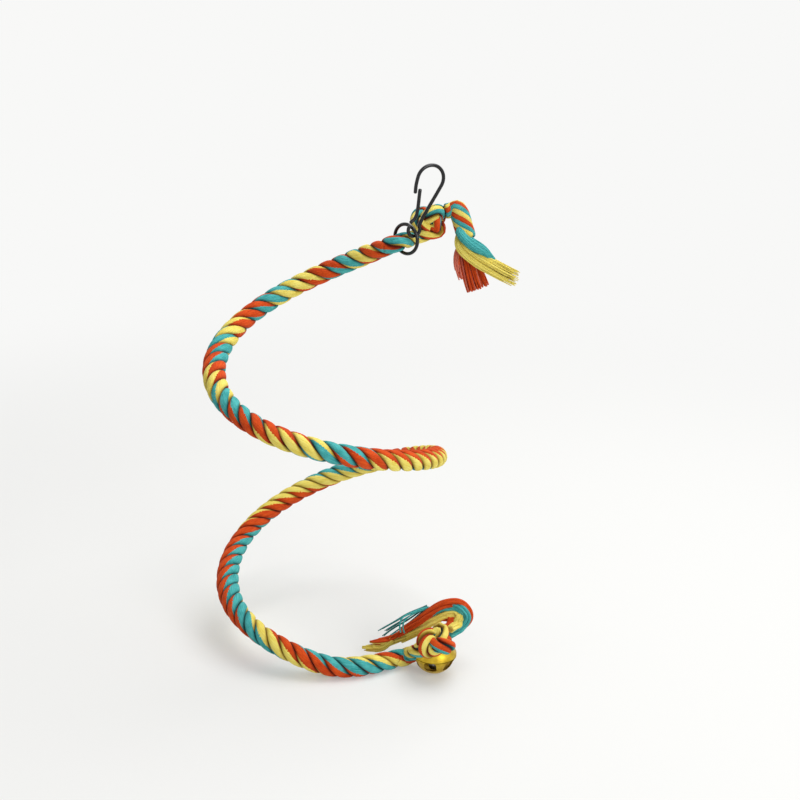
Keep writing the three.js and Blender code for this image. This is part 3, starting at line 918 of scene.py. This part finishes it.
# Frayed ends of the tail above the top knot
topTassels = {
    "topTasselRed": {
        "node": "top_tassel_red", "slot": "red_yarn", "yarns": [redYarn, pinkYarn], "mix": [0, 0, 0, 0, 0, 1],
        "offsets": [(0, 0.5, -3), (1.5, 0.5, -10), (3.8, 0, -18), (7.2, -0.5, -27)], "flat": 0.5,
        "count": 50, "spread": (2.6, 4.6, 5.6), "thick": (0.6, 0.8), "fray": 0.06, "twist": 0.2, "wave": 0.3,
    },
    "topTasselYellow": {
        "node": "top_tassel_yellow", "slot": "yellow_yarn", "yarns": [yellowYarn], "mix": [0],
        "offsets": [(-2.6, -3.4, -3.6), (4.5, -4.6, -9.8), (14, -4.8, -15), (26.5, -4, -21)], "flat": 0.6,
        "count": 110, "spread": (2.8, 3.9, 4.0), "thick": (0.5, 0.66), "fray": 0.4, "twist": 0.4, "wave": 0.5,
        "tip": 0.35,
    },
    "topTasselTeal": {
        "node": "top_tassel_teal", "slot": "teal_yarn", "yarns": [tealYarn], "mix": [0],
        "offsets": [(-3, -3.6, 2), (2, -4.4, -2.6), (9, -3.6, -6.8), (15, -2.4, -12.6)], "flat": 0.6,
        "count": 80, "spread": (2.6, 3.5, 1.6), "thick": (0.5, 0.66), "fray": 0.22, "twist": 0.5, "wave": 0.3,
        "tip": 0.45,
    },
    "topTasselCurl": {
        "node": "top_tassel_curl", "slot": "pink_yarn", "yarns": [pinkYarn, redYarn], "mix": [0, 0, 0, 1],
        "offsets": [(-2.2, -0.5, -2), (-4.4, -1.5, -9), (-4.2, -2, -14.5), (-1.8, -2, -22)],
        "count": 14, "spread": (1.2, 1.7, 0.9), "thick": (0.4, 0.55), "fray": 0.35, "twist": 1.5, "wave": 0.5,
    },
}

# Frayed ends of the bight, and a thin bundle behind it that starts at a place of its own
lowTassels = {
    "bottomTasselYellow": {
        "node": "bottom_tassel_yellow", "slot": "yellow_yarn", "yarns": [yellowYarn], "mix": [0],
        "offsets": [(-0.9, 0, -2.4), (-5.9, 0.3, -3.4), (-11.9, 1, -3.8)], "tip": 0.4,
        "count": 26, "spread": (1.7, 1.9, 1.3), "thick": (0.45, 0.6), "fray": 0.5, "twist": 0.8, "wave": 0.4,
    },
    "bottomTasselRed": {
        "node": "bottom_tassel_red", "slot": "red_yarn", "yarns": [redYarn, yellowYarn],
        "mix": [0, 0, 0, 0, 1], "offsets": [(-2.4, 0, 0.2), (-5, 0.6, -0.4), (-8, 1.2, -1)], "tip": 0.4,
        "count": 20, "spread": (1.6, 1.7, 0.9), "thick": (0.45, 0.6), "fray": 0.5, "twist": 0.8, "wave": 0.4,
    },
    "bottomTasselTeal": {
        "node": "bottom_tassel_teal", "slot": "teal_yarn", "yarns": [tealYarn], "mix": [0],
        # Its yarns are drawn dark, mostly in the crease shade colour, and darkest on the inner yarns as
        # painted shade
        "offsets": [(0, 0, 0), (-6, 0.2, -3.8), (-14, 0.4, -9.5), (-23, 0.2, -16)], "tone": (0.35, 0.6),
        "count": 8, "spread": (1.0, 2.8, 3.3), "thick": (0.34, 0.46), "fray": 0.25, "twist": 0.3, "wave": 0.7,
        "place": (-11.6, 12.2, 5.2), "strayRadius": 0.42,
        "strays": [
            [(31, -29.5, 27), (24, -34.5, 27.5), (17.4, -36.5, 24.5), (16.4, -37, 20.3), (16.9, -37, 17.2)],
            [(30, -29.5, 26), (23, -34.5, 26), (18.6, -36.5, 23), (18, -37, 19.5), (18.8, -37, 16.8)],
        ],
    },
}
tasselSeeds = {"top": 11, "low": 31}


def tasselLine(shape, path):
    if "place" in shape:
        root = bightStart + Vector(shape["place"])
        line = []
    else:
        root = path[-1]
        line = [root - (root - path[-2]).normalized() * bundleLook["root"]]
    return curveThrough(line + [root + Vector(p) for p in shape["offsets"]], bundleLook["curveSteps"])


def makeTassels(shapes, path, seed, body, floor=None):
    for number, (name, shape) in enumerate(shapes.items()):
        mesh = newMesh()
        addBundle(mesh, tasselLine(shape, path), shape, shape["mix"], seed + number, floor)
        for stray in shape.get("strays", []):
            points = evenly(curveThrough(stray, bundleLook["curveSteps"]), bundleLook["step"])
            addTube(mesh, points, [shape["strayRadius"]] * len(points), bundleLook["sides"], 0)
        tassel = makePiece(name, mesh, shape["yarns"])
        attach(tassel, body)
        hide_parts(shape["node"])


makeTassels(topTassels, tailPath, tasselSeeds["top"], "top_tail")
makeTassels(lowTassels, bightPath, tasselSeeds["low"], "spiral", ropeLook["floor"])
print("tassels made")

# Ring, hook and gate of round wire
wireSides = 14
ringShape = {
    "centre": (19.62, 29.617, 198.401),
    "normal": (0.6951, 0.7183, 0.0303),
    "radius": 7.3,
    "wire": 0.9,
    "steps": 72,
}
hookShape = {
    "link": (23.166, 25.965, 203.632),
    "lean": 15,
    "yaw": 22,
    "wire": 0.9,
    "eye": 3.109, "eyeArc": (50, -200, 22),
    "bowCentre": (0.9, 25.4), "bowRadius": 6.9, "bowArc": (180, -12, 20),
    "nose": (-5.1, 17.8),
    "bend": (-0.72, 3.8),
    "gateRise": 2.1, "gateBend": (1.8, 3.1), "gateTip": (-3.0, 19.6),
    "steps": 4, "gateSteps": 10,
}


def arc(centre, radius, start, end, steps):
    points = []
    for i in range(steps + 1):
        a = radians(lerp(start, end, i / steps))
        points.append((centre[0] + radius * cos(a), centre[1] + radius * sin(a)))
    return points


def makeWire(name, points, radius, roundEnds, body, node):
    mesh = newMesh()
    addTube(mesh, points, [radius] * len(points), wireSides, 0, roundEnds)
    wire = makePiece(name, mesh, [hookWire])
    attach(wire, body)
    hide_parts(node)


def makeRing(shape):
    normal = Vector(shape["normal"]).normalized()
    side = normal.cross(up).normalized()
    other = normal.cross(side)
    centre = Vector(shape["centre"])
    count = shape["steps"]
    points = []
    for i in range(count + 1):
        a = 2 * pi * i / count
        points.append(centre + (side * cos(a) + other * sin(a)) * shape["radius"])
    makeWire("linkRing", points, shape["wire"], (False, False), "ring", "link_ring")


def makeHook(shape):
    lean = radians(shape["lean"])
    yaw = radians(shape["yaw"])
    across = Vector((cos(lean) * cos(yaw), sin(yaw), -sin(lean) * cos(yaw)))
    along = Vector((sin(lean), 0, cos(lean)))
    base = Vector(shape["link"])

    def placed(flat, steps):
        return curveThrough([base + across * x + along * y for x, y in flat], steps)

    nose = shape["nose"]
    eye = arc((0, 0), shape["eye"], *shape["eyeArc"])
    flat = [nose, (nose[0] + shape["bend"][0], nose[1] + shape["bend"][1])]
    flat += arc(shape["bowCentre"], shape["bowRadius"], *shape["bowArc"]) + eye
    makeWire("hookFrame", placed(flat, shape["steps"]), shape["wire"], (True, True), "hook", "hook_frame")
    root = (eye[-1][0], eye[-1][1] + shape["gateRise"])
    bent = (root[0] + shape["gateBend"][0], root[1] + shape["gateBend"][1])
    leg = placed([root, bent, shape["gateTip"]], shape["gateSteps"])
    makeWire("hookGate", leg, shape["wire"], (True, True), "gate", "hook_gate")


makeRing(ringShape)
makeHook(hookShape)
print("ring and hook made")

# Bell of two pressed shells, its windows cut out of the lower one
bellShape = {
    "radius": 10,
    "wall": 0.8,
    "seam": 0.15,
    "lip": 0.9, "lipInset": 0.05, "lipHeight": 0.5, "lipAngle": 7,
    "rows": 10,
    "hole": 1.3,
    "closed": 0.02,
    "segments": 72,
    "crease": 40,
    "windows": 6,
    "windowTurn": 0.25,
    "windowWidth": 5.8, "windowHeight": 5.5, "windowDrop": 2.95,
    "windowCorner": 1.1, "cornerSteps": 5,
    "cutDepths": (5.0, 12.0),
    "cutCrease": 35,
}
loopShape = {
    "height": 12.45, "radius": 2.1, "arc": (-80, 260, 28), "steps": 3,
    "wire": 0.55, "sides": 12,
    "neck": 0.5, "foot": 0.6,
    "flange": [(0.1, 1.7), (0.5, 1.5)], "flangeSides": 20,
}
pelletShape = {"radius": 2.8, "gap": 0.3, "rows": 24, "sides": 28, "tip": 0.02}
tieShape = {"yarns": 3, "half": 3, "lay": 7, "place": 0.42, "radius": 0.46, "steps": 18, "sides": 8}


def lathe(profile, segments, centre, flip):
    mesh = newMesh()
    for k in range(segments):
        a = 2 * pi * k / segments
        for r, z in profile:
            mesh["points"].append(centre + Vector((r * cos(a), r * sin(a), z)))
    rows = len(profile)
    for k in range(segments):
        n = (k + 1) % segments
        for i in range(rows):
            j = (i + 1) % rows
            quad = (k * rows + i, n * rows + i, n * rows + j, k * rows + j)
            mesh["faces"].append(tuple(reversed(quad)) if flip else quad)
    return mesh


def shellProfile(shape, stopRadius, sign):
    outer = shape["radius"]
    inner = outer - shape["wall"]
    rim = shape["seam"]
    edge = outer - shape["lipInset"] + shape["lip"]
    rows = shape["rows"]
    points = [(edge, sign * rim), (edge, sign * (rim + shape["lipHeight"]))]
    for i in range(1, rows + 1):
        a = lerp(radians(shape["lipAngle"]), acos(stopRadius / outer), i / rows)
        points.append((outer * cos(a), sign * outer * sin(a)))
    for i in range(rows + 1):
        a = lerp(acos(stopRadius / inner), asin(rim / inner), i / rows)
        points.append((inner * cos(a), sign * inner * sin(a)))
    return points


def windowCutter(shape, centre):
    mesh = newMesh()
    corner = shape["windowCorner"]
    half = shape["windowWidth"] / 2 - corner
    tall = shape["windowHeight"] / 2 - corner
    steps = shape["cornerSteps"]
    outline = []
    for cx, cz, start in ((half, tall, 0), (-half, tall, 90), (-half, -tall, 180), (half, -tall, 270)):
        for i in range(steps + 1):
            a = radians(start + 90 / steps * i)
            outline.append((cx + corner * cos(a), cz + corner * sin(a)))
    count = len(outline)
    for w in range(shape["windows"]):
        a = 2 * pi * (w + shape["windowTurn"]) / shape["windows"]
        out = Vector((cos(a), sin(a), 0))
        side = Vector((-sin(a), cos(a), 0))
        base = len(mesh["points"])
        for depth in shape["cutDepths"]:
            for x, z in outline:
                mesh["points"].append(centre + out * depth + side * x + up * (z - shape["windowDrop"]))
        for i in range(count):
            n = (i + 1) % count
            mesh["faces"].append((base + i, base + n, base + count + n, base + count + i))
        mesh["faces"].append(tuple(base + i for i in reversed(range(count))))
        mesh["faces"].append(tuple(base + count + i for i in range(count)))
    return mesh


def fixNormals(piece):
    work = bmesh.new()
    work.from_mesh(piece.data)
    bmesh.ops.recalc_face_normals(work, faces=work.faces)
    work.to_mesh(piece.data)
    work.free()


def makeShells(shape, centre):
    crown = lathe(shellProfile(shape, shape["hole"], 1), shape["segments"], centre, False)
    upper = makePiece("bellUpper", crown, [bellGold], shape["crease"])
    fixNormals(upper)
    bowl = lathe(shellProfile(shape, shape["closed"], -1), shape["segments"], centre, True)
    lower = makePiece("bellLower", bowl, [bellGold], shape["crease"])
    fixNormals(lower)
    cutter = makePiece("windowCutter", windowCutter(shape, centre), [bellGold])
    fixNormals(cutter)
    cut = lower.modifiers.new("windows", "BOOLEAN")
    cut.object = cutter
    cut.operation = "DIFFERENCE"
    cut.solver = "EXACT"
    graph = bpy.context.evaluated_depsgraph_get()
    opened = bpy.data.meshes.new_from_object(lower.evaluated_get(graph))
    lower.modifiers.clear()
    lower.data = opened
    opened.set_sharp_from_angle(angle=radians(shape["cutCrease"]))
    bpy.data.objects.remove(cutter)
    for piece, node in ((upper, "bell_upper"), (lower, "bell_lower")):
        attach(piece, "bell")
        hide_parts(node)


def makeLoop(shape, bell, centre):
    mesh = newMesh()
    middle = centre + up * shape["height"]
    foot = centre + up * (bell["radius"] - bell["wall"] - shape["foot"])
    route = [middle + Vector((0, x, z)) for x, z in arc((0, 0), shape["radius"], *shape["arc"])]
    route.append(route[0].lerp(route[-1], 0.5) - up * shape["neck"])
    route.append(foot)
    points = curveThrough(route, shape["steps"])
    addTube(mesh, points, [shape["wire"]] * len(points), shape["sides"], 0)
    flange = [foot + up * rise for rise, radius in shape["flange"]]
    addTube(mesh, flange, [radius for rise, radius in shape["flange"]], shape["flangeSides"], 0)
    loop = makePiece("bellLoop", mesh, [wireSteel])
    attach(loop, "bell")
    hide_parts("bell_loop")
    return middle


def makePellet(shape, bell, centre):
    mesh = newMesh()
    radius = shape["radius"]
    spot = centre + up * (radius + bell["wall"] + shape["gap"] - bell["radius"])
    centres = []
    radii = []
    for i in range(shape["rows"] + 1):
        a = pi * i / shape["rows"] - pi / 2
        centres.append(spot + up * (radius * sin(a)))
        radii.append(max(shape["tip"], radius * cos(a)))
    addTube(mesh, centres, radii, shape["sides"], 0, (False, False))
    pellet = makePiece("bellPellet", mesh, [wireSteel])
    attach(pellet, "pellet")
    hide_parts("bell_pellet")


# Three yarns twisted together, through the bell's loop
def makeTie(shape, middle):
    mesh = newMesh()
    for yarn in range(shape["yarns"]):
        points = []
        for i in range(shape["steps"] + 1):
            x = lerp(-shape["half"], shape["half"], i / shape["steps"])
            a = 2 * pi * (yarn / shape["yarns"] + x / shape["lay"])
            points.append(middle + Vector((x, shape["place"] * cos(a), shape["place"] * sin(a))))
        addTube(mesh, points, [shape["radius"]] * len(points), shape["sides"], 0)
    tie = makePiece("bellTie", mesh, [yellowYarn])
    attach(tie, "spiral")
    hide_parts("bell_tie")


makeShells(bellShape, bellCentre)
loopMiddle = makeLoop(loopShape, bellShape, bellCentre)
makePellet(pelletShape, bellShape, bellCentre)
makeTie(tieShape, loopMiddle)
print("bell made")

# Pale floor, white surroundings and soft lamps, all in metres
stageLook = {
    "white": (248, 248, 247),
    "paint": (231, 231, 229),
    "shadow": 0.72,
    "near": 0.16,
    "far": 0.75,
    "size": 12.0,
    "drop": 0.0003,
    "world": 0.33,
}


def seenRays(tree):
    path = addNode(tree, "LightPath")
    seen = mathNode(tree, "MAXIMUM", path.outputs["Is Camera Ray"], path.outputs["Is Glossy Ray"])
    return mathNode(tree, "MAXIMUM", seen, path.outputs["Is Transmission Ray"])


# The floor shows its shading round the object and goes over into the white surroundings further out
def makeFloor(look):
    half = look["size"] / 2
    data = bpy.data.meshes.new("floor")
    corners = [(-half, -half, 0), (half, -half, 0), (half, half, 0), (-half, half, 0)]
    data.from_pydata([Vector(c) - up * look["drop"] for c in corners], [], [(0, 1, 2, 3)])
    floor = bpy.data.objects.new("floor", data)
    scene.collection.objects.link(floor)
    material = bpy.data.materials.new("paleFloor")
    material.use_nodes = True
    tree = material.node_tree
    tree.nodes.remove(tree.nodes["Principled BSDF"])
    paint = addNode(tree, "BsdfDiffuse", {"Color": colour(*look["paint"])})
    glow = addNode(tree, "Emission", {"Color": colour(*look["white"])})
    away = addNode(tree, "VectorMath", {0: addNode(tree, "TexCoord").outputs["Object"]})
    away.operation = "LENGTH"
    fade = addNode(tree, "MapRange", {
        "Value": away.outputs["Value"], "From Min": look["near"], "From Max": look["far"],
        "To Min": 1 - look["shadow"], "To Max": 1,
    })
    fade.interpolation_type = "SMOOTHERSTEP"
    share = mathNode(tree, "MULTIPLY", seenRays(tree), fade.outputs["Result"])
    mix = addNode(tree, "MixShader", {0: share, 1: paint.outputs[0], 2: glow.outputs[0]})
    feed(tree, mix.outputs[0], tree.nodes["Material Output"].inputs["Surface"])
    data.materials.append(material)


def makeWorld(look):
    world = bpy.data.worlds.new("studio")
    world.use_nodes = True
    scene.world = world
    tree = world.node_tree
    back = tree.nodes["Background"]
    light = (look["world"], look["world"], look["world"], 1)
    tint = mixColour(tree, seenRays(tree), light, colour(*look["white"]))
    feed(tree, tint, back.inputs["Color"])
    back.inputs["Strength"].default_value = 1


lampAim = Vector((0, 0, 0.1))
lampLook = {
    "key": {"at": (0.3, 0.25, 1.25), "size": 1.1, "power": 15},
    "front": {"at": (0.7, -1.0, 0.7), "size": 0.8, "power": 8},
}


def makeLamps(lamps):
    for name, lamp in lamps.items():
        data = bpy.data.lights.new(name, "AREA")
        data.shape = "SQUARE"
        data.size = lamp["size"]
        data.energy = lamp["power"]
        light = bpy.data.objects.new(name, data)
        light.location = lamp["at"]
        light.rotation_euler = (lampAim - light.location).to_track_quat("-Z", "Y").to_euler()
        scene.collection.objects.link(light)


makeFloor(stageLook)
makeWorld(stageLook)
makeLamps(lampLook)
scene.view_settings.view_transform = "Standard"
print("stage and lamps made")
